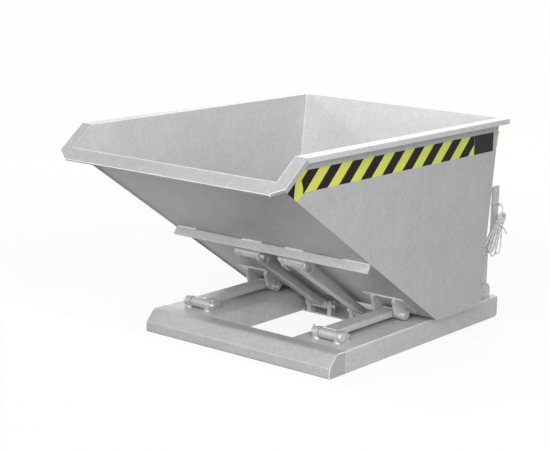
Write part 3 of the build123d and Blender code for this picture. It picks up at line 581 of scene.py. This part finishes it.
lip_inside, lip_outside = 497, 548
end_inset, mitre_inset = 1, 2
lip_reach = lip_inside - end_inset
inner_crest, inner_fold = (-271, 877), (-372.4, 798)
outer_crest, outer_corner = (-270, 875.5), (-388.6, 784)
nose, nose_end, nose_low = (-412.6, 760.4), (-415, 763.6), (-408, 754.5)
mitre_end = (-271, 876.5)
# The beads along the lip's fold, flanks, outer edges and nose are partly painted highlights.
fold_highlight_bead, nose_weld_and_highlight_bead, flank_highlight_bead, rim_edge_highlight_bead, mitre_bead = 0.5, 0.75, 0.55, 0.5, 0.45
bucket_lines += [
    (fold_highlight_bead, [on_lip(-lip_reach, inner_fold), on_lip(lip_reach, inner_fold)]),
    (nose_weld_and_highlight_bead, [on_lip(-lip_inside, nose), on_lip(lip_inside, nose)]),
]
for side in (-1, 1):
    inner, outer = side * lip_inside, side * lip_outside
    mitre_start, mitre_stop = inner + side * mitre_inset, outer - side * mitre_inset
    bucket_lines += [
        (flank_highlight_bead, [on_lip(inner, inner_crest), on_lip(inner, inner_fold)]),
        (rim_edge_highlight_bead, [on_lip(outer, outer_crest), on_lip(outer, outer_corner)]),
        (nose_weld_and_highlight_bead, [
            on_lip(outer, outer_corner), on_lip(inner, nose_end), on_lip(inner, nose_low),
        ]),
        (mitre_bead, [on_lip(mitre_start, inner_crest), on_lip(mitre_stop, mitre_end)]),
    ]
weld("bucket_welds", "bucket", bucket_lines)

# The warning tape is printed film with a glued back, black with slanting yellow bars, stuck along
# the walls just under the rim. It is a little dusty, with fine pale scratches.
stripe_pitch = 133.2 * mm
bar_share = 0.497


def warning_tape(name, direction, start):
    """Bars across a direction in the wall's plane, with a bar's edge at start."""
    finish = Finish(name)
    turned = finish.node("ShaderNodeVectorMath", {"operation": "DOT_PRODUCT"}, {
        0: finish.place, 1: direction,
    }, "Value")
    wobble = (finish.noise(60.0, 2.0) - 0.5) * (1.2 * mm)
    phase = (turned + wobble - start) / stripe_pitch
    stripe = phase.math("FRACT", phase) < bar_share
    dust = finish.noise(9.0, 4.0)
    grit = finish.noise(420.0, 3.0)
    scratch = finish.noise(1.0, 3.0, finish.stretched((60.0, 60.0, 900.0)))
    worn = finish.ramp(scratch + (dust - 0.5) * 0.5, 0.70, 0.80)
    yellow = finish.mix(dust, (0.72, 0.76, 0.125, 1.0), (0.86, 0.90, 0.185, 1.0))
    black = finish.mix(grit, grey(0.010), grey(0.022))
    print_colour = finish.mix(stripe, black, yellow)
    return finish.close({
        "Base Color": finish.mix(worn * 0.5, print_colour, grey(0.35)),
        "Roughness": 0.42 + (grit - 0.5) * 0.25 + worn * 0.2,
        "Specular IOR Level": 0.06,
        "Normal": finish.relief(grit * 0.4 + dust, 0.15 * mm, 0.5),
    })


slant = 1.06
side_edge_back, side_edge_up = -180.2 * mm, 782 * mm
side_start = side_edge_back + base_front - slant * side_edge_up
dress(warning_tape("side_tape_film", (0.0, 1.0, -slant), side_start), "side_tapes")
front_lead, front_fall = -1.4037, 0.1723
mitre_back, mitre_up = -271 * mm, 877 * mm
front_edge = 78.5 * mm
front_start = front_lead * (base_front + mitre_back) + front_fall * mitre_up - front_edge
dress(warning_tape("front_tape_film", (0.0, front_lead, front_fall), front_start), "front_tapes")
rear_start = 1272.7 * mm
rear_film = warning_tape("rear_tape_film", (1.0, 0.0, 1.0), rear_start)
dress(rear_film, "rear_tape")

# The rear tape's end on the lever side has come away and stands past the corner of the wall,
# further at its top than at its bottom. It is the same film, bent a little off the wall.
tape_low, tape_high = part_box("rear_tape")
film = 0.5 * mm
end_lap = 3 * mm
end_bend = 8 * mm
end_reach = 13 * mm
end_flare = 5 * mm
wall_step = 6.5 * mm
end_curl = 1 * mm
end_rows, end_columns = 5, 3
loose_points = []
for row in range(end_rows):
    share = row / (end_rows - 1)
    back = tape_low.y + (tape_high.y - tape_low.y) * share
    height = tape_low.z + (tape_high.z - tape_low.z) * share
    reach = end_reach + end_flare * share
    for out, off in ((-end_lap, 0.0), (end_bend, wall_step), (reach, wall_step + end_curl)):
        loose_points.append(Vector((tape_high.x + out, back + off, height)))
loose_faces = []
for row in range(end_rows - 1):
    for column in range(end_columns - 1):
        first = end_columns * row + column
        loose_faces.append((first, first + 1, first + end_columns + 1, first + end_columns))
loose_mesh = bpy.data.meshes.new("rear_tape_end")
loose_mesh.from_pydata(loose_points, [], loose_faces)
loose_mesh.materials.append(rear_film)
loose_end = bpy.data.objects.new("rear_tape_end", loose_mesh)
bpy.context.collection.objects.link(loose_end)
thickness = loose_end.modifiers.new("film", "SOLIDIFY")
thickness.thickness = film
thickness.offset = 0.0
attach(loose_end, "bucket")

# The data plate is a bare black film plate at the rear end of each side tape, stuck on flat.
# Satin plastic with a fine texture and a few rubbed marks.
plate_film = Finish("plate_film")
plate_grit = plate_film.noise(700.0, 3.0)
plate_rub = plate_film.noise(26.0, 4.0)
dress(plate_film.close({
    "Base Color": plate_film.mix(plate_rub, grey(0.010), grey(0.024)),
    "Roughness": 0.38 + (plate_grit - 0.5) * 0.2 + (plate_rub - 0.5) * 0.3,
    "Specular IOR Level": 0.1,
    "Normal": plate_film.relief(plate_grit, 0.05 * mm, 0.5),
}), "data_plates")

# The release lever is a flat bar, cranked halfway up and rounded at the top, with a latch finger
# welded to its front edge. Hot-dipped like the base, on a bolt between the two ears.
dress(section_zinc, "lever_bar", "latch_hook")

# The rope is tied round the lever below its top and hangs in a hank, four loops and two turns
# round them that hold them together. Three-strand white cord, a little over 6 mm thick.
hank_middle = Vector((0.0, base_front + 1187 * mm, 360 * mm))
hank_turn = radians(61.0)
hank_up = Vector((0.0, cos(hank_turn), sin(hank_turn)))
hank_front = Vector((0.0, -sin(hank_turn), cos(hank_turn)))


def in_hank(x, up, front):
    """A point in the hank's own directions, which lean with it."""
    return Vector((x, 0.0, 0.0)) + hank_middle + up * hank_up + front * hank_front


def arc_points(middle_up, radius, first, last, steps):
    """Control points of a half turn, set out a little so that the line keeps its radius."""
    step = radians((last - first) / steps)
    out = radius / cos(step / 2)
    angles = [radians(first) + step * i for i in range(steps + 1)]
    return [(middle_up + out * sin(a), out * cos(a)) for a in angles]


rope_route = [
    (433.5, 1232.5, 474.0), (436.0, 1221.0, 490.0), (436.0, 1176.5, 493.0), (412.0, 1176.5, 492.0),
    (412.0, 1237.5, 486.0), (436.0, 1241.0, 482.0), (446.0, 1235.0, 468.0), (451.0, 1231.0, 453.8),
]
rope_points = [Vector((x * mm, base_front + y * mm, z * mm)) for x, y, z in rope_route]
fold_radius = 19.4 * mm
fold_steps = 4
waist_up = 56 * mm
waist_half = 5.5 * mm
waist_start, waist_end, shoulder = 2 * mm, -18 * mm, -50 * mm
shoulder_share, belly_share = 0.7, 0.5
neck_x = (438.0, 444.5, 451.0, 457.5)
fan_x = (437.0, 447.0, 458.0, 470.0)
fan_front = (15.0, 3.0, -4.0, -14.0)
loop_tops = (74.0, 79.0, 72.0, 77.0)
loop_bottoms = (-80.0, -66.0, -76.0, -58.0)
last_loop = len(neck_x) - 1
for loop in range(len(neck_x)):
    top, bottom = loop_tops[loop] * mm, loop_bottoms[loop] * mm
    down_side = [
        (waist_up + waist_start, waist_half), (waist_up + waist_end, waist_half),
        (waist_up + shoulder, fold_radius * shoulder_share), (bottom * belly_share, fold_radius),
    ]
    outline = down_side + arc_points(bottom, fold_radius, 0.0, -180.0, fold_steps)
    outline += [(up, -front) for up, front in reversed(down_side)]
    outline += arc_points(top, fold_radius, 180.0, 0.0, fold_steps)
    next_neck = neck_x[min(loop + 1, last_loop)]
    for number, (up, front) in enumerate(outline):
        fan = min(max((waist_up - up) / (waist_up - bottom), 0.0), 1.0)
        step = number / len(outline) if loop < last_loop else 0.0
        x = (neck_x[loop] + (next_neck - neck_x[loop]) * step) * (1 - fan) + fan_x[loop] * fan
        rope_points.append(in_hank(x * mm, up, front + fan_front[loop] * mm * fan))
bundle_x = (neck_x[0] + neck_x[-1]) / 2 * mm
wrap_half_x = 17.0 * mm
wrap_gap = 7.0 * mm
wrap_half_front = waist_half + wrap_gap
wrap_flat = wrap_half_x - wrap_half_front
wrap_lead = 6 * mm
wrap_pitch = 7.0 * mm
wrap_steps = 12
wrap_turns = 2
wrap_out = wrap_half_front / cos(pi / wrap_steps)
for step in range(wrap_turns * wrap_steps):
    angle = pi / 2 - 2 * pi * (step + 0.5) / wrap_steps
    shift = wrap_flat if cos(angle) > 0 else -wrap_flat
    x = bundle_x + shift + wrap_out * cos(angle)
    up = waist_up + wrap_lead - wrap_pitch * step / wrap_steps
    rope_points.append(in_hank(x, up, wrap_out * sin(angle)))
tail = ((8, -12, 16), (19, -17, 6), (25, -24, -12), (29, -36, -36))
for out, up, front in tail:
    rope_points.append(in_hank(bundle_x + out * mm, waist_up + up * mm, front * mm))

rope_curve = bpy.data.curves.new("rope_line", "CURVE")
rope_curve.dimensions = "3D"
rope_spline = rope_curve.splines.new("NURBS")
rope_spline.points.add(len(rope_points) - 1)
for knot, point in zip(rope_spline.points, rope_points):
    knot.co = (*point, 1.0)
rope_spline.order_u = 3
rope_spline.use_endpoint_u = True
rope_spline.resolution_u = 6
rope_line = bpy.data.objects.new("rope_line", rope_curve)
bpy.context.collection.objects.link(rope_line)
line_graph = bpy.context.evaluated_depsgraph_get()
line_shape = rope_line.evaluated_get(line_graph)
line_mesh = bpy.data.meshes.new_from_object(line_shape, depsgraph=line_graph)
rope_path = [v.co.copy() for v in line_mesh.vertices]
bpy.data.objects.remove(rope_line)


def laid_strands():
    """Three strands that twist round one another along a line."""
    shape = Shape("laid_strands", {
        "Line": "Geometry", "Strand Radius": "Float", "Strand Offset": "Float",
        "Lay Length": "Float", "Step": "Float", "Finish": "Material",
    })
    given = shape.given
    stepped = shape.node("GeometryNodeResampleCurve", {"mode": "LENGTH"}, {
        "Curve": given["Line"], "Length": given["Step"],
    })
    run = shape.node("GeometryNodeSplineParameter", {}, {}, "Length")
    twisted = shape.node("GeometryNodeSetCurveTilt", {}, {
        "Curve": stepped, "Tilt": run * (2 * pi) / given["Lay Length"],
    })
    ring = shape.node("GeometryNodeCurvePrimitiveCircle", {"mode": "RADIUS"}, {
        "Resolution": 8, "Radius": given["Strand Radius"],
    })
    bundle = shape.tree.nodes.new("GeometryNodeJoinGeometry")
    for third in range(3):
        angle = 2 * pi * third / 3
        offset = shape.node("ShaderNodeCombineXYZ", {}, {
            0: given["Strand Offset"] * cos(angle), 1: given["Strand Offset"] * sin(angle),
        })
        moved = shape.node("GeometryNodeTransform", {}, {"Geometry": ring, "Translation": offset})
        shape.tree.links.new(moved.socket, bundle.inputs[0])
    tube = shape.node("GeometryNodeCurveToMesh", {}, {
        "Curve": twisted, "Profile Curve": Wire(shape, bundle.outputs[0]), "Fill Caps": True,
    })
    return shape.close(shape.node("GeometryNodeSetShadeSmooth", {}, {0: tube}))


def rope_fibre():
    """Pale twisted fibre, greyer where hands and dust have been."""
    finish = Finish("rope_fibre")
    fibre = finish.noise(1500.0, 3.0)
    soil = finish.noise(38.0, 3.0)
    tone = soil * 0.6 + fibre * 0.4
    return finish.close({
        "Base Color": finish.mix(tone, (0.70, 0.695, 0.675, 1.0), (0.98, 0.975, 0.955, 1.0)),
        "Roughness": 0.72 + (fibre - 0.5) * 0.3,
        "Normal": finish.relief(fibre, 0.25 * mm, 0.8),
    })


rope = run_along("rope", [(1.0, rope_path)], laid_strands(), {
    "Strand Radius": 1.62 * mm, "Strand Offset": 1.87 * mm,
    "Lay Length": 22 * mm, "Step": 2.2 * mm, "Finish": rope_fibre(),
})
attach(rope, "release_lever")
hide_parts("rope_lead", "rope_hank")

# The floor is the edge of a loading dock, so that the tipped bucket has room in front. Floor and
# sky are white where the camera or a shiny surface sees them, and they scatter less light than
# that. Near the hopper the floor shows its shadow.
floor_reach = 40.0
dock_edge = base_front - 30 * mm
dock_drop = 600 * mm
dock_skin = 6 * mm
floor_levels = [
    (floor_reach, 0.0), (dock_edge, 0.0), (dock_edge, -dock_drop), (-floor_reach, -dock_drop),
]
floor_points = [(x, y, z) for y, z in floor_levels for x in (-floor_reach, floor_reach)]
floor_mesh = bpy.data.meshes.new("floor")
floor_mesh.from_pydata(floor_points, [], [(n, n + 1, n + 3, n + 2) for n in (0, 2, 4)])
floor = bpy.data.objects.new("floor", floor_mesh)
bpy.context.collection.objects.link(floor)


def seen_directly(plan):
    """1 for what the camera, a shiny surface or a clear one sees, and 0 for scattered light."""
    camera_ray = plan.node("ShaderNodeLightPath", output="Is Camera Ray")
    glossy_ray = plan.node("ShaderNodeLightPath", output="Is Glossy Ray")
    clear_ray = plan.node("ShaderNodeLightPath", output="Is Transmission Ray")
    either = camera_ray.math("MAXIMUM", camera_ray, glossy_ray)
    return either.math("MAXIMUM", either, clear_ray)


scattering, whiteness = grey(0.2), grey(0.9)
floor_glow, shadow_depth = 0.988, 0.11
shadow_near, shadow_far = 0.8, 4.0
floor_paint = Finish("floor_paint")
floor_seen = seen_directly(floor_paint)
from_middle = floor_paint.node("ShaderNodeVectorMath", {"operation": "LENGTH"}, {
    0: floor_paint.place,
}, "Value")
floor_height = floor_paint.node("ShaderNodeSeparateXYZ", {}, {0: floor_paint.place}, "Z")
on_dock = floor_height > -dock_skin
shadow_share = floor_paint.ramp(from_middle, shadow_far, shadow_near) * on_dock * shadow_depth
matt = floor_paint.node("ShaderNodeBsdfDiffuse", {}, {
    "Color": floor_paint.mix(floor_seen, scattering, whiteness),
})
glow = floor_paint.node("ShaderNodeEmission", {}, {"Color": grey(1.0), "Strength": 1.0})
floor_skin = floor_paint.node("ShaderNodeMixShader", {}, {
    0: floor_seen * (floor_glow - shadow_share), 1: matt, 2: glow,
})
floor_paint.node("ShaderNodeOutputMaterial", {}, {"Surface": floor_skin})
floor_mesh.materials.append(floor_paint.material)

world = bpy.data.worlds.new("studio")
world.use_nodes = True
bpy.context.scene.world = world
world.node_tree.nodes.clear()
sky = Plan(world.node_tree)
sky_light = 0.25
sky_seen = 0.99
sky_strength = sky_light + seen_directly(sky) * (sky_seen - sky_light)
sky_glow = sky.node("ShaderNodeBackground", {}, {"Color": grey(1.0), "Strength": sky_strength})
sky.node("ShaderNodeOutputWorld", {}, {"Surface": sky_glow})

# Four large soft lamps stand round the hopper and over it. A small one at the front left picks out
# the fold of the beam and the ends of the front tubes.
def lamp(name, place, target, width, watts):
    """A square lamp that faces a target."""
    data = bpy.data.lights.new(name, "AREA")
    data.shape = "SQUARE"
    data.size = width
    data.energy = watts
    made = bpy.data.objects.new(name, data)
    aim = (Vector(target) - Vector(place)).to_track_quat("-Z", "Y")
    made.matrix_world = Matrix.Translation(place) @ aim.to_matrix().to_4x4()
    bpy.context.collection.objects.link(made)


lamp("overhead_lamp", place=(0.0, 0.2, 5.0), target=(0.0, 0.2, 0.5), width=4.0, watts=41.0)
lamp("right_lamp", place=(4.2, -3.2, 2.6), target=(0.0, 0.0, 0.4), width=3.4, watts=185.0)
lamp("front_lamp", place=(1.4, -4.9, 3.2), target=(0.0, 0.0, 0.4), width=3.0, watts=184.0)
lamp("rear_lamp", place=(-2.6, 4.4, 4.2), target=(0.0, 0.2, 0.5), width=3.4, watts=120.0)
lamp("left_lamp", place=(-2.7, -3.7, 2.0), target=(0.0, -0.5, 0.2), width=0.6, watts=19.0)

# The camera stands in front of the hopper and to its right, well above the rim, with a long lens.
# Its place is measured from the middle of the base's front edge.
image_width = 550
focal_pixels = 1507.5
camera_turn = radians(38.74)
camera_fall = radians(12.31)
camera_roll = radians(-1.25)
camera_place = Vector((3.63494, base_front - 4.28828, 1.74607))
level_ahead = Vector((-sin(camera_turn), cos(camera_turn), 0.0))
camera_ahead = level_ahead * cos(camera_fall) - Vector((0.0, 0.0, sin(camera_fall)))
level_right = Vector((cos(camera_turn), sin(camera_turn), 0.0))
level_down = camera_ahead.cross(level_right)
camera_right = cos(camera_roll) * level_right + sin(camera_roll) * level_down
camera_down = cos(camera_roll) * level_down - sin(camera_roll) * level_right
camera_data = bpy.data.cameras.new("camera")
camera_data.sensor_width = 36.0
camera_data.lens = camera_data.sensor_width * focal_pixels / image_width
camera = bpy.data.objects.new("camera", camera_data)
axes = Matrix((camera_right, -camera_down, -camera_ahead)).transposed()
camera.matrix_world = Matrix.Translation(camera_place) @ axes.to_4x4()
bpy.context.collection.objects.link(camera)
bpy.context.scene.camera = camera
bpy.context.scene.view_settings.view_transform = "Standard"

bpy.context.view_layer.update()
